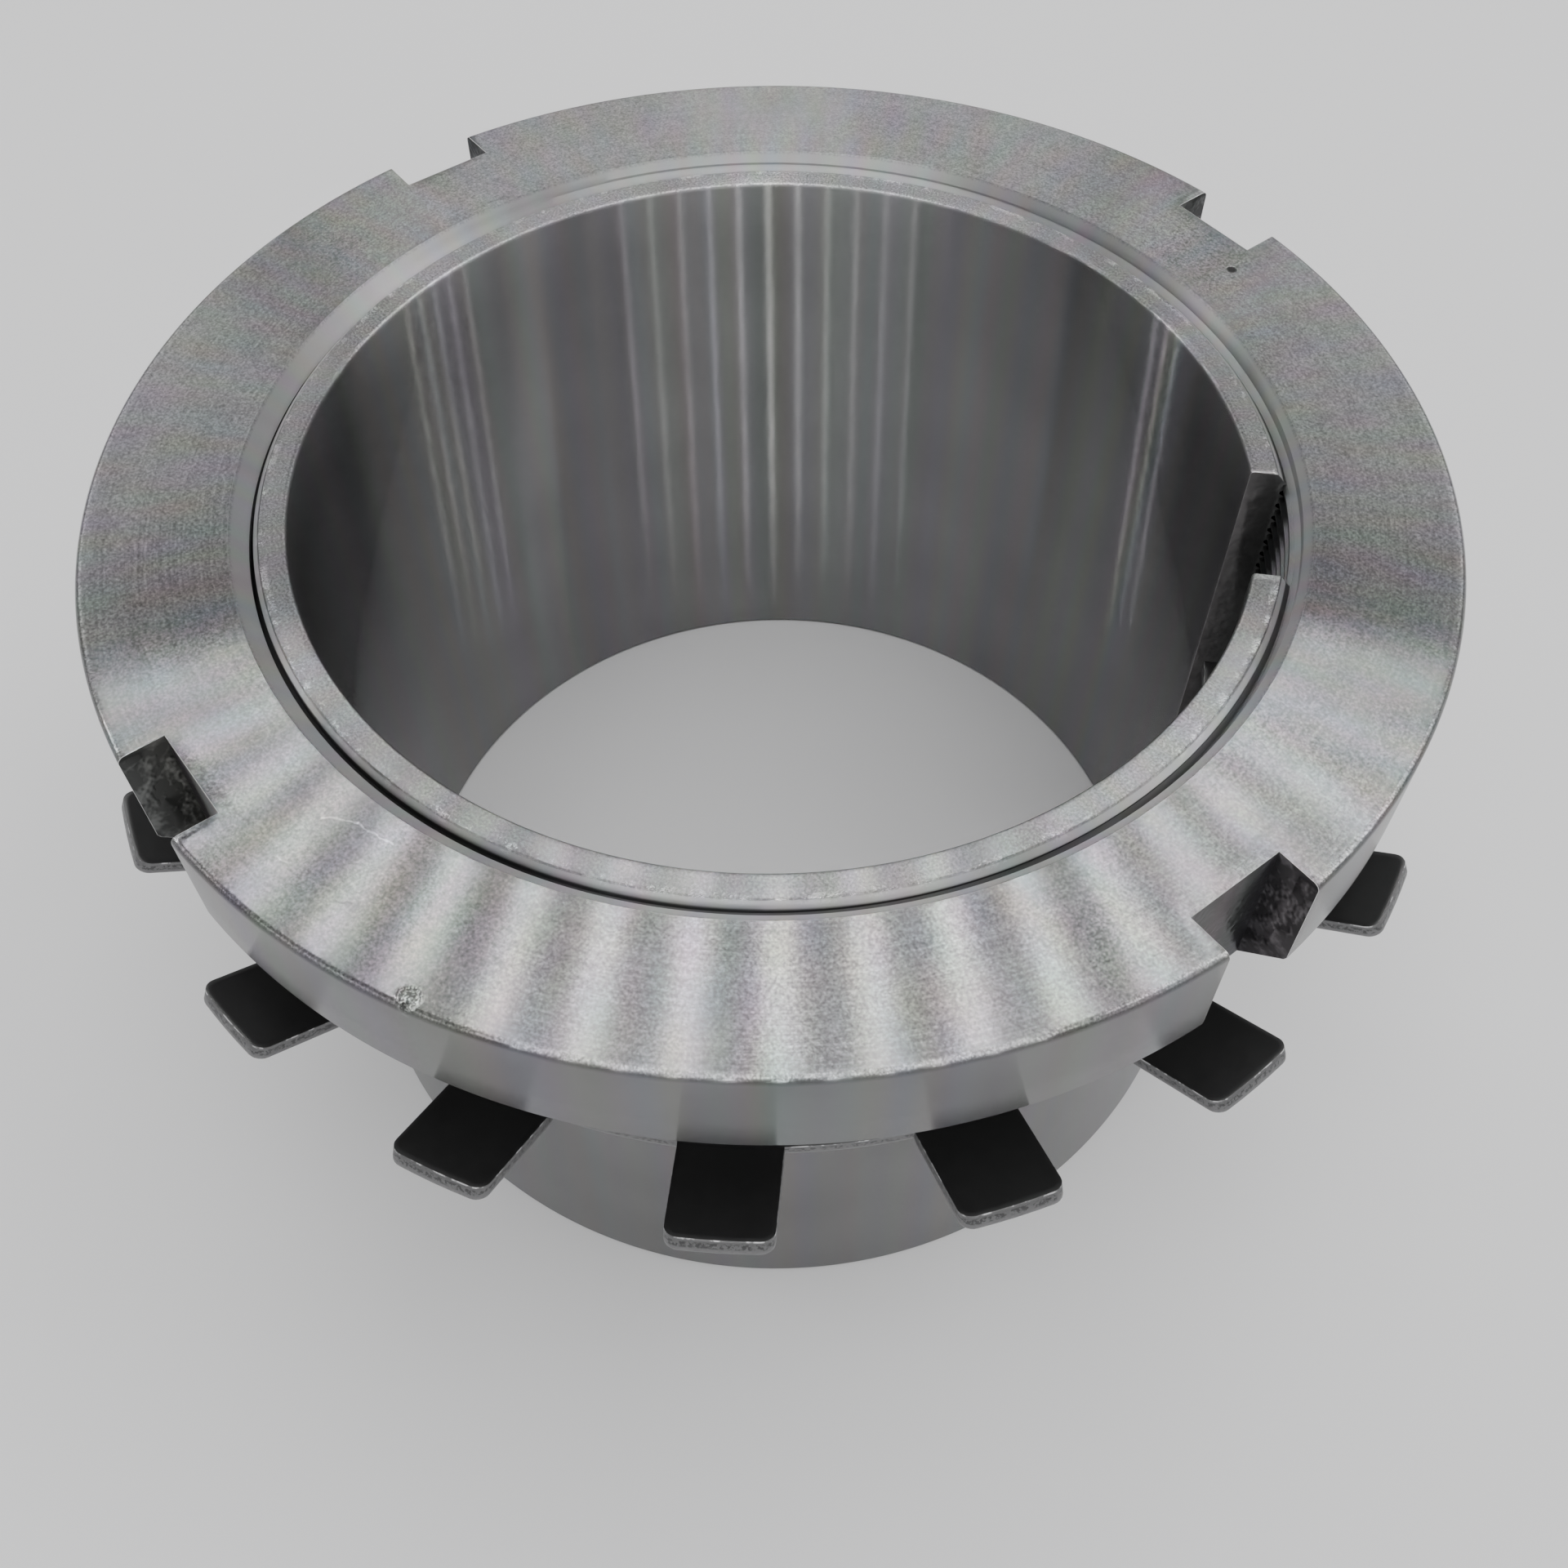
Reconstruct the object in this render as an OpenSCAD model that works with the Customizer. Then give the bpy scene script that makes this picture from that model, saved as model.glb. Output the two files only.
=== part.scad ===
// Adapter sleeve for mounting a tapered-bore bearing on a plain shaft, with its locknut and lock washer.
// It stands on the large end of its taper, with the locknut at the top.
// The origin is on the shaft axis, in the plane of the large end. All sizes are in millimetres.

/* [Sleeve] */
// Diameter of the shaft bore
bore_d = 110; // [100:1:120]
// Wall from the bore to the thread crests, and at the small end of the bearing seat
wall = 5; // [4:0.25:8]
// Length from end to end
sleeve_len = 88; // [76:1:110]
// Length over which the diameter of the bearing seat grows by 1
taper = 12; // [10:1:30]
// Width of the slit that lets the sleeve close on the shaft
slit_w = 16; // [10:0.5:20]
// Direction of the slit, from the X axis
slit_angle = 43.5; // [0:0.5:89.5]
// Chamfer round the threaded rim
rim_chamfer = 2; // [0.5:0.1:2.4]
// Small chamfer on the other edges of the sleeve
edge_chamfer = 0.5; // [0.2:0.1:0.8]

/* [Thread] */
// Length of the threaded end
thread_len = 30; // [24:1:40]
// Running clearance between nut and thread, on the radius
thread_gap = 0.05; // [0.02:0.01:0.1]

/* [Locknut] */
// Outside diameter
nut_d = 155; // [148:1:162]
// Width along the axis
nut_w = 22; // [16:1:28]
// Diameter of the face that bears on the washer
nut_face_d = 138; // [130:1:144]
// Slope of the chamfer round that face, from the face's plane
nut_chamfer_angle = 45; // [30:1:50]
// Chamfer at each end of the threaded hole
nut_bore_chamfer = 0.5; // [0.2:0.1:1.5]
// Rounding of the outer edge of the top face
nut_edge_r = 0.8; // [0.3:0.1:2]
// Number of spanner slots
slot_count = 4; // [3:1:8]
// Width of a spanner slot
slot_w = 12; // [8:0.5:16]
// Depth of a spanner slot
slot_depth = 5.4; // [3:0.1:8]
// How far the nut's top face stands above the sleeve's rim
nut_proud = 1; // [-2:0.5:5]

/* [Lock washer] */
// Thickness of the sheet
washer_t = 2; // [1.2:0.1:2.6]
// Clearance of the washer's hole round the thread, on the radius
washer_play = 0.2; // [0.1:0.05:0.4]
// Diameter of the flat ring, where the tangs start to bend
ring_d = 138; // [132:1:144]
// Diameter over the upper edges of the tang tips
tip_d = 163; // [156:1:172]
// Angle by which the tangs are bent towards the nut
tang_bend = 25; // [10:1:35]
// Radius inside the bend
bend_r = 1; // [0.5:0.1:2]
// Number of tangs
tang_count = 17; // [11:2:23]
// How much narrower a tang is than a spanner slot
tang_play = 0.5; // [0.3:0.1:2]
// Rounding of the tang corners
tang_corner_r = 1.5; // [0.5:0.1:3]
// How much narrower the inner tab is than the sleeve's slit
tab_play = 2; // [0.4:0.2:4]
// How far the inner tab stays back from the shaft bore
tab_setback = 0.5; // [0.2:0.1:2]
// Clearance of the washer on the taper where it rests, on the radius
seat_gap = 0.03; // [0.02:0.01:0.08]

/* [Hidden] */
$fn = 180;
// Excess by which cutters reach past what they cut
past = 2;

bore_r = bore_d / 2;
thread_r = bore_r + wall;
seat_top_z = sleeve_len - thread_len;
rim_z = sleeve_len;

nut_r = nut_d / 2;
nut_bore_r = thread_r + thread_gap;
nut_face_r = nut_face_d / 2;
nut_z = rim_z + nut_proud - nut_w;
nut_chamfer_h = (nut_r - nut_face_r) * tan(nut_chamfer_angle);

tang_w = slot_w - tang_play;
tab_w = slit_w - tab_play;
ring_r = ring_d / 2;
washer_bore_r = thread_r + washer_play;
tab_end_r = bore_r + tab_setback;
// The washer has slid down the taper until its hole is as wide as the seat.
washer_z = seat_top_z - (washer_bore_r - seat_gap - thread_r) * 2 * taper;
// The ring's top plane and the tang's upper face meet in this radius.
bend_line_r = ring_r + bend_r * tan(tang_bend / 2);
tip_rise = (tip_d / 2 - bend_line_r) * tan(tang_bend);
tip_top_z = washer_z + washer_t + tip_rise;
// The tip's end is square to the tang, so its lower edge stands out furthest.
tang_reach_r = tip_d / 2 + washer_t * sin(tang_bend);

// Radius of the bearing seat at a height
function seat_r(z) = thread_r + (seat_top_z - z) / (2 * taper);

// Points along an arc, from one angle to another
function arc(x, y, r, from, to, steps = 8) =
    [for (i = [0:steps]) let (a = from + (to - from) * i / steps) [x + r * cos(a), y + r * sin(a)]];

// Tapered tube with a threaded upper end, slit along its whole length
module sleeve() {
    color("silver") difference() {
        rotate_extrude() polygon([
            [bore_r + edge_chamfer, 0],
            [seat_r(0) - edge_chamfer, 0],
            [seat_r(edge_chamfer), edge_chamfer],
            [thread_r, seat_top_z],
            [thread_r, rim_z - rim_chamfer],
            [thread_r - rim_chamfer, rim_z],
            [bore_r + edge_chamfer, rim_z],
            [bore_r, rim_z - edge_chamfer],
            [bore_r, edge_chamfer],
        ]);
        rotate([0, 0, slit_angle]) translate([0, 0, -past])
            linear_extrude(rim_z + 2 * past) slit_outline();
    }
}

// Plan of the slit, whose edges are broken where it opens into the bore
module slit_outline() {
    half = slit_w / 2;
    corner_x = sqrt(bore_r * bore_r - half * half);
    outside_x = seat_r(0) + past;
    polygon([
        [corner_x - edge_chamfer, -half - 2 * edge_chamfer],
        [corner_x + edge_chamfer, -half],
        [outside_x, -half],
        [outside_x, half],
        [corner_x + edge_chamfer, half],
        [corner_x - edge_chamfer, half + 2 * edge_chamfer],
    ]);
}

// Ring nut with spanner slots round its rim and a wide chamfer towards the washer
module locknut() {
    color("gainsboro") translate([0, 0, nut_z]) difference() {
        rotate_extrude() polygon(concat(
            [
                [nut_bore_r + nut_bore_chamfer, 0],
                [nut_face_r, 0],
                [nut_r, nut_chamfer_h],
            ],
            arc(nut_r - nut_edge_r, nut_w - nut_edge_r, nut_edge_r, 0, 90),
            [
                [nut_bore_r + nut_bore_chamfer, nut_w],
                [nut_bore_r, nut_w - nut_bore_chamfer],
                [nut_bore_r, nut_bore_chamfer],
            ]
        ));
        for (i = [0:slot_count - 1]) rotate([0, 0, i * 360 / slot_count])
            translate([nut_r - slot_depth, -slot_w / 2, -past])
                cube([slot_depth + past, slot_w, nut_w + 2 * past]);
    }
}

// Stamped washer: flat ring, tangs bent up towards the nut, and one tab that runs in the slit
module lock_washer() {
    color("dimgray") rotate([0, 0, slit_angle]) intersection() {
        rotate_extrude() dished_section();
        translate([0, 0, washer_z - past])
            linear_extrude(tip_rise + washer_t + 2 * past) washer_outline();
    }
}

// Section through the washer: flat from the tab's end to the bend, then rising to the tip
module dished_section() {
    top_z = washer_z + washer_t;
    polygon(concat(
        [[tab_end_r, top_z], [tab_end_r, washer_z]],
        arc(ring_r, top_z + bend_r, bend_r + washer_t, -90, tang_bend - 90),
        [[tang_reach_r, tip_top_z - washer_t * cos(tang_bend)], [tip_d / 2, tip_top_z]],
        arc(ring_r, top_z + bend_r, bend_r, tang_bend - 90, -90)
    ));
}

// Plan of the washer as it is stamped
module washer_outline() {
    difference() {
        union() {
            circle(r = ring_r);
            for (i = [0:tang_count - 1]) rotate([0, 0, i * 360 / tang_count]) tang_outline();
        }
        difference() {
            circle(r = washer_bore_r);
            translate([tab_end_r, -tab_w / 2]) square([washer_bore_r, tab_w]);
        }
    }
}

// Plan of one tang, square at the root and rounded at the tip's corners
module tang_outline() {
    root_x = ring_r - washer_t;
    corner_x = tang_reach_r - tang_corner_r;
    corner_y = tang_w / 2 - tang_corner_r;
    translate([root_x, -tang_w / 2]) square([corner_x - root_x, tang_w]);
    translate([root_x, -corner_y]) square([tang_reach_r + past - root_x, 2 * corner_y]);
    for (side = [-1, 1]) translate([corner_x, side * corner_y]) circle(r = tang_corner_r);
}

sleeve();
lock_washer();
locknut();
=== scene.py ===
"""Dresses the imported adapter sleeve, with its locknut and lock washer, as turned and stamped steel."""

import math

import bmesh
import bpy
import numpy as np
from mathutils import Matrix, Vector


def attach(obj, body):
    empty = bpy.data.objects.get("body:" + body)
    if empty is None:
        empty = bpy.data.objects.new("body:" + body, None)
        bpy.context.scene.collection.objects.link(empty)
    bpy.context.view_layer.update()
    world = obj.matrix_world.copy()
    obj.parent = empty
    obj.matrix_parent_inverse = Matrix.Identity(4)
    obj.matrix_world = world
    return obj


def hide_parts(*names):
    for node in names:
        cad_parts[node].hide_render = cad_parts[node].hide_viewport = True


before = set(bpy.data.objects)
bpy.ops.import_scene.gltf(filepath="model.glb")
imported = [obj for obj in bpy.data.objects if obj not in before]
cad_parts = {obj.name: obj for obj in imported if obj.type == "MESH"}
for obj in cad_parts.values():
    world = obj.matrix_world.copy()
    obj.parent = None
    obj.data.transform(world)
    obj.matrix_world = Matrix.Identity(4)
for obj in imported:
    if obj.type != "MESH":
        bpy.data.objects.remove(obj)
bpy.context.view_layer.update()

MM = 0.001
WELD = 1e-6

# Sizes of the sleeve, in millimetres, as in the part's source
BORE_R = 55.0
THREAD_R = 60.0
SLEEVE_LEN = 88.0
SEAT_TOP = 58.0
TAPER = 12.0
SLIT_HALF = 8.0
SLIT_ANGLE = math.radians(43.5)
RIM_CHAMFER = 2.0
EDGE_CHAMFER = 0.5
SLEEVE_STEPS = 360

# The thread: a 60 degree ridge, one every pitch, that climbs one pitch a turn
PITCH = 2.0
CREST_HALF = 0.125
THREAD_DEPTH = 1.22
FLANK = math.tan(math.radians(30))
THREAD_PLAY = 0.06

# Sizes of the locknut
NUT_R = 77.5
NUT_W = 22.0
NUT_ABOVE_RIM = 1.0
NUT_TOP = SLEEVE_LEN + NUT_ABOVE_RIM
NUT_Z = NUT_TOP - NUT_W
NUT_FACE_R = 69.0
NUT_EDGE_R = 0.8
NUT_ROOT_GAP = 0.05
NUT_BORE_R = THREAD_R + NUT_ROOT_GAP
NUT_MINOR_R = 58.92
NUT_MOUTH_CHAMFER = 1.0
NUT_MOUTH_R = NUT_BORE_R + NUT_MOUTH_CHAMFER
SLOTS = 4
SLOT_HALF = 6.0
SLOT_FLOOR = 72.1
SLOT_STEPS = 6
LAND_STEPS = 84

# Sizes of the lock washer
TANGS = 17
TANG_HALF = 5.75
SHEET = 2.0
WASHER_BORE_R = 60.2
SEAT_GAP = 0.03
RING_R = 69.0
TIP_LENGTH = 83.199
BEND = math.radians(25)
BEND_R = 1.0
TAB_HALF = 7.0
TAB_END_R = 55.5
WASHER_Z = SEAT_TOP - (WASHER_BORE_R - THREAD_R - SEAT_GAP) * 2 * TAPER


class Field:
    """One output of a node, on which arithmetic adds Math nodes to the same tree."""

    def __init__(self, tree, socket):
        self.tree = tree
        self.socket = socket

    def out(self, name):
        """Another output of the same node"""
        return Field(self.tree, self.socket.node.outputs[name])

    def __add__(self, other):
        return maths(self.tree, "ADD", self, other)

    def __radd__(self, other):
        return maths(self.tree, "ADD", other, self)

    def __sub__(self, other):
        return maths(self.tree, "SUBTRACT", self, other)

    def __rsub__(self, other):
        return maths(self.tree, "SUBTRACT", other, self)

    def __mul__(self, other):
        return maths(self.tree, "MULTIPLY", self, other)

    def __rmul__(self, other):
        return maths(self.tree, "MULTIPLY", other, self)

    def __truediv__(self, other):
        return maths(self.tree, "DIVIDE", self, other)

    def __rtruediv__(self, other):
        return maths(self.tree, "DIVIDE", other, self)

    def __mod__(self, other):
        return maths(self.tree, "FLOORED_MODULO", self, other)

    def __lt__(self, other):
        return maths(self.tree, "LESS_THAN", self, other)

    def __gt__(self, other):
        return maths(self.tree, "GREATER_THAN", self, other)

    def __abs__(self):
        return maths(self.tree, "ABSOLUTE", self)


def node(tree, kind, settings=(), sockets=(), out=0):
    """Adds a node: its settings first, then the values or links of its sockets, by name or number."""
    made = tree.nodes.new(kind)
    for name, value in dict(settings).items():
        setattr(made, name, value)
    for key, value in dict(sockets).items():
        if isinstance(value, Field):
            tree.links.new(value.socket, made.inputs[key])
        else:
            made.inputs[key].default_value = value
    return Field(tree, made.outputs[out]) if made.outputs else None


def maths(tree, operation, *values):
    return node(tree, "ShaderNodeMath", {"operation": operation}, enumerate(values))


def sine(x):
    return maths(x.tree, "SINE", x)


def cosine(x):
    return maths(x.tree, "COSINE", x)


def arcsine(x):
    return maths(x.tree, "ARCSINE", x)


def root(x):
    return maths(x.tree, "SQRT", x)


def floor_of(x):
    return maths(x.tree, "FLOOR", x)


def lesser(a, b):
    return maths(a.tree, "MINIMUM", a, b)


def greater(a, b):
    return maths(a.tree, "MAXIMUM", a, b)


def clamp(x, low, high):
    return greater(lesser(x, high), low)


def pick(test, yes, no):
    """yes where test is 1, no where it is 0"""
    return no + test * (yes - no)


def ramp(x, low, high):
    """0 up to low, 1 from high on, smooth in between; low may be the higher one"""
    return node(
        x.tree,
        "ShaderNodeMapRange",
        {"interpolation_type": "SMOOTHSTEP"},
        {"Value": x, "From Min": low, "From Max": high},
    )


# Geometry trees: lathes that sweep a section, and the washer's dishing


def geometry_tree(name, inputs):
    """An empty Geometry Nodes tree with named inputs, given as name: (socket type, value)"""
    tree = bpy.data.node_groups.new(name, "GeometryNodeTree")
    tree.interface.new_socket("Geometry", in_out="INPUT", socket_type="NodeSocketGeometry")
    for label, (kind, value) in inputs.items():
        socket = tree.interface.new_socket(label, in_out="INPUT", socket_type="NodeSocket" + kind)
        if value is not None:
            socket.default_value = value
    tree.interface.new_socket("Geometry", in_out="OUTPUT", socket_type="NodeSocketGeometry")
    entry = node(tree, "NodeGroupInput")
    return tree, entry


def end_tree(tree, geometry, material):
    """Ends a tree in Realize Instances, welded seams and Set Material"""
    real = node(tree, "GeometryNodeRealizeInstances", (), {"Geometry": geometry})
    welded = node(tree, "GeometryNodeMergeByDistance", (), {"Geometry": real, "Distance": WELD})
    done = node(tree, "GeometryNodeSetMaterial", (), {"Geometry": welded, "Material": material})
    node(tree, "NodeGroupOutput", (), {"Geometry": done})


def grown(name, base, tree, values):
    """The plain mesh that a tree makes of a base mesh, as a new object"""
    seed = bpy.data.objects.new(name + "_seed", base)
    bpy.context.scene.collection.objects.link(seed)
    modifier = seed.modifiers.new("grow", "NODES")
    modifier.node_group = tree
    for item in tree.interface.items_tree:
        if item.in_out == "INPUT" and item.name in values:
            modifier[item.identifier] = values[item.name]
    bpy.context.view_layer.update()
    evaluated = seed.evaluated_get(bpy.context.evaluated_depsgraph_get())
    mesh = bpy.data.meshes.new_from_object(evaluated)
    mesh.name = name
    seed.modifiers.remove(modifier)
    bpy.data.objects.remove(seed)
    piece = bpy.data.objects.new(name, mesh)
    bpy.context.scene.collection.objects.link(piece)
    return piece


def section_mesh(name, rows):
    """A closed section as a chain of points, whose rows are radius, height, thread share and slot share"""
    mesh = bpy.data.meshes.new(name)
    closed = rows + rows[:1]
    chain = [(i, i + 1) for i in range(len(closed) - 1)]
    mesh.from_pydata([(r * MM, 0, z * MM) for r, z, _, _ in closed], chain, [])
    for key, column in (("thread_row", 2), ("floor_row", 3)):
        layer = mesh.attributes.new(key, "FLOAT", "POINT")
        layer.data.foreach_set("value", [row[column] for row in closed])
    return mesh


def named_value(tree, kind, name):
    return node(tree, "GeometryNodeInputNamedAttribute", {"data_type": kind}, {"Name": name})


def read_section(tree, section, row):
    """Radius, height, thread share and slot share of one row of the section"""

    def sampled(kind, value):
        sockets = {"Geometry": section, "Value": value, "Index": row}
        return node(tree, "GeometryNodeSampleIndex", {"data_type": kind}, sockets)

    place = sampled("FLOAT_VECTOR", node(tree, "GeometryNodeInputPosition"))
    split = node(tree, "ShaderNodeSeparateXYZ", (), {0: place})
    shares = [sampled("FLOAT", named_value(tree, "FLOAT", key)) for key in ("thread_row", "floor_row")]
    return split.out("X"), split.out("Z"), shares[0], shares[1]


def sweep_grid(tree, section, steps):
    """A grid with one column a step and one row a section point, and each point's column and row"""
    size = node(tree, "GeometryNodeAttributeDomainSize", (), {"Geometry": section})
    rows = size.out("Point Count")
    grid = node(tree, "GeometryNodeMeshGrid", (), {"Vertices X": steps + 1, "Vertices Y": rows})
    index = node(tree, "GeometryNodeInputIndex")
    return grid, floor_of((index + 0.5) / rows), index % rows


def placed(tree, grid, x, y, z):
    place = node(tree, "ShaderNodeCombineXYZ", (), {"X": x, "Y": y, "Z": z})
    return node(tree, "GeometryNodeSetPosition", (), {"Geometry": grid, "Position": place})


def sleeve_tree():
    """Sweeps a section from one side of a slit to the other; its thread rows climb with the angle"""
    tree, entry = geometry_tree(
        "slit lathe",
        {
            "Steps": ("Int", SLEEVE_STEPS),
            "Slit angle": ("Float", SLIT_ANGLE),
            "Slit half width": ("Float", SLIT_HALF * MM),
            "Pitch": ("Float", PITCH * MM),
            "Thread radius": ("Float", THREAD_R * MM),
            "Thread start": ("Float", SEAT_TOP * MM),
            "Thread end": ("Float", SLEEVE_LEN * MM),
            "Rim chamfer": ("Float", RIM_CHAMFER * MM),
            "Material": ("Material", None),
        },
    )
    section = entry.out("Geometry")
    steps = entry.out("Steps")
    grid, column, row = sweep_grid(tree, section, steps)
    r0, z0, helix, _ = read_section(tree, section, row)
    start, end = entry.out("Thread start"), entry.out("Thread end")
    crest = entry.out("Thread radius")
    turn = column / steps
    open_crest = arcsine(entry.out("Slit half width") / crest)
    nominal = entry.out("Slit angle") + open_crest + turn * (2 * math.pi - open_crest * 2)
    climbed = clamp(z0 + entry.out("Pitch") * nominal / (2 * math.pi), start, end)
    z = pick(helix, climbed, z0)
    cut = lesser(greater(r0, crest - (z - start)), crest - greater(z - end + entry.out("Rim chamfer"), 0.0))
    r = pick(helix, cut, r0)
    open_here = arcsine(entry.out("Slit half width") / r)
    angle = entry.out("Slit angle") + open_here + turn * (2 * math.pi - open_here * 2)
    end_tree(tree, placed(tree, grid, r * cosine(angle), r * sine(angle), z), entry.out("Material"))
    return tree


def nut_tree():
    """Sweeps a section round a full turn, cut back to a flat floor at each spanner slot"""
    tree, entry = geometry_tree(
        "slotted lathe",
        {
            "Slots": ("Int", SLOTS),
            "Slot steps": ("Int", SLOT_STEPS),
            "Land steps": ("Int", LAND_STEPS),
            "Slot half width": ("Float", SLOT_HALF * MM),
            "Slot floor": ("Float", SLOT_FLOOR * MM),
            "Pitch": ("Float", PITCH * MM),
            "Low face": ("Float", NUT_Z * MM),
            "High face": ("Float", NUT_TOP * MM),
            "Mouth radius": ("Float", NUT_MOUTH_R * MM),
            "Face radius": ("Float", NUT_FACE_R * MM),
            "Material": ("Material", None),
        },
    )
    section = entry.out("Geometry")
    slots, slot_steps, land_steps = (entry.out(k) for k in ("Slots", "Slot steps", "Land steps"))
    sector_steps = slot_steps + land_steps + 2
    grid, column, row = sweep_grid(tree, section, sector_steps * slots)
    r0, z0, helix, floor_row = read_section(tree, section, row)
    low, high = entry.out("Low face"), entry.out("High face")
    half = entry.out("Slot half width")
    sector = floor_of((column + 0.5) / sector_steps)
    step = column % sector_steps
    in_slot = step < slot_steps + 0.5
    across = half * (step / slot_steps * 2 - 1)
    share = (step - slot_steps - 1) / land_steps
    pitch_angle = 2 * math.pi / slots
    # A floor row lies where the floor's plane cuts its own face: 1 marks the top face, 2 the chamfer
    beside = pick(in_slot, across, half)
    floor = entry.out("Slot floor")
    floor_r = root(floor * floor + beside * beside)
    is_floor_row = floor_row > 0.5
    r1 = pick(is_floor_row, floor_r, r0)
    z1 = pick(floor_row > 1.5, low + floor_r - entry.out("Face radius"), z0)
    mouth = entry.out("Mouth radius")
    climb_edge = arcsine(half / mouth)
    climb_angle = pick(in_slot, arcsine(across / mouth), climb_edge + share * (pitch_angle - climb_edge * 2))
    climb = entry.out("Pitch") * (climb_angle + sector * pitch_angle) / (2 * math.pi)
    climbed = clamp(z1 + climb, low, high)
    z = pick(helix, climbed, z1)
    r = pick(helix, greater(greater(r1, mouth - (z - low)), mouth - (high - z)), r1)
    edge = arcsine(half / r)
    angle = pick(in_slot, arcsine(across / r), edge + share * (pitch_angle - edge * 2))
    out = r * cosine(angle)
    past_floor = in_slot * (out > floor)
    x = pick(past_floor, floor, out)
    y = pick(past_floor, across, r * sine(angle))
    turned = sector * pitch_angle
    ahead, aside = cosine(turned), sine(turned)
    swept = placed(tree, grid, x * ahead - y * aside, x * aside + y * ahead, z)
    end_tree(tree, swept, entry.out("Material"))
    return tree


def washer_tree():
    """Sets one tang sector after another round the axis, one of them with the tab, and dishes the tangs"""
    tree, entry = geometry_tree(
        "stamped washer",
        {
            "Tangs": ("Int", TANGS),
            "First angle": ("Float", SLIT_ANGLE),
            "Sheet": ("Float", SHEET * MM),
            "Ring radius": ("Float", RING_R * MM),
            "Bend angle": ("Float", BEND),
            "Bend radius": ("Float", BEND_R * MM),
            "Height": ("Float", WASHER_Z * MM),
            "Material": ("Material", None),
        },
    )
    sectors_in = {"Geometry": entry.out("Geometry"), "Selection": named_value(tree, "FLOAT", "has_tab") > 0.5}
    parts = node(tree, "GeometryNodeSeparateGeometry", {"domain": "POINT"}, sectors_in)
    sectors = []
    for part, first, count in ((parts.out("Inverted"), 1, entry.out("Tangs") - 1), (parts, 0, 1)):
        points = node(tree, "GeometryNodePoints", (), {"Count": count})
        index = node(tree, "GeometryNodeInputIndex")
        angle = entry.out("First angle") + (index + first) * (2 * math.pi / entry.out("Tangs"))
        turn = node(tree, "ShaderNodeCombineXYZ", (), {"Z": angle})
        stored = {"data_type": "FLOAT_VECTOR", "domain": "POINT"}
        turned = {"Geometry": points, "Name": "turn", "Value": turn}
        kept = node(tree, "GeometryNodeStoreNamedAttribute", stored, turned)
        stored_turn = named_value(tree, "FLOAT_VECTOR", "turn")
        rotation = node(tree, "FunctionNodeEulerToRotation", (), {0: stored_turn})
        copies = {"Points": kept, "Instance": part, "Rotation": rotation}
        sectors.append(node(tree, "GeometryNodeInstanceOnPoints", (), copies))
    joined = tree.nodes.new("GeometryNodeJoinGeometry")
    for sector in sectors:
        tree.links.new(sector.socket, joined.inputs[0])
    real = node(tree, "GeometryNodeRealizeInstances", (), {"Geometry": Field(tree, joined.outputs[0])})
    place = node(tree, "ShaderNodeSeparateXYZ", (), {0: node(tree, "GeometryNodeInputPosition")})
    x, y, height = place.out("X"), place.out("Y"), place.out("Z")
    length = root(x * x + y * y)
    sheet, radius = entry.out("Sheet"), entry.out("Bend radius")
    beyond = greater(length - entry.out("Ring radius"), 0.0)
    middle = radius + sheet / 2
    bent = lesser(beyond / middle, entry.out("Bend angle"))
    straight = beyond - bent * middle
    layer_r = radius + sheet - height
    r = lesser(length, entry.out("Ring radius")) + layer_r * sine(bent) + straight * cosine(bent)
    z = radius + sheet - layer_r * cosine(bent) + straight * sine(bent) + entry.out("Height")
    end_tree(tree, placed(tree, real, x * r / length, y * r / length, z), entry.out("Material"))
    return tree


# The sections that the lathes sweep, and the washer's flat sectors


def arc(x, y, r, start, end, steps):
    turns = np.radians(np.linspace(start, end, steps + 1))
    return [(x + r * math.cos(a), y + r * math.sin(a)) for a in turns]


def plain(points):
    return [(r, z, 0, 0) for r, z in points]


def thread_rows(low, high, shape):
    """Rows of a thread from one pitch below low to high, in the order of rising height"""
    count = round((high - low) / PITCH) + 1
    return [(r, low - PITCH + PITCH * i + z, 1, 0) for i in range(count) for r, z in shape]


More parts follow.
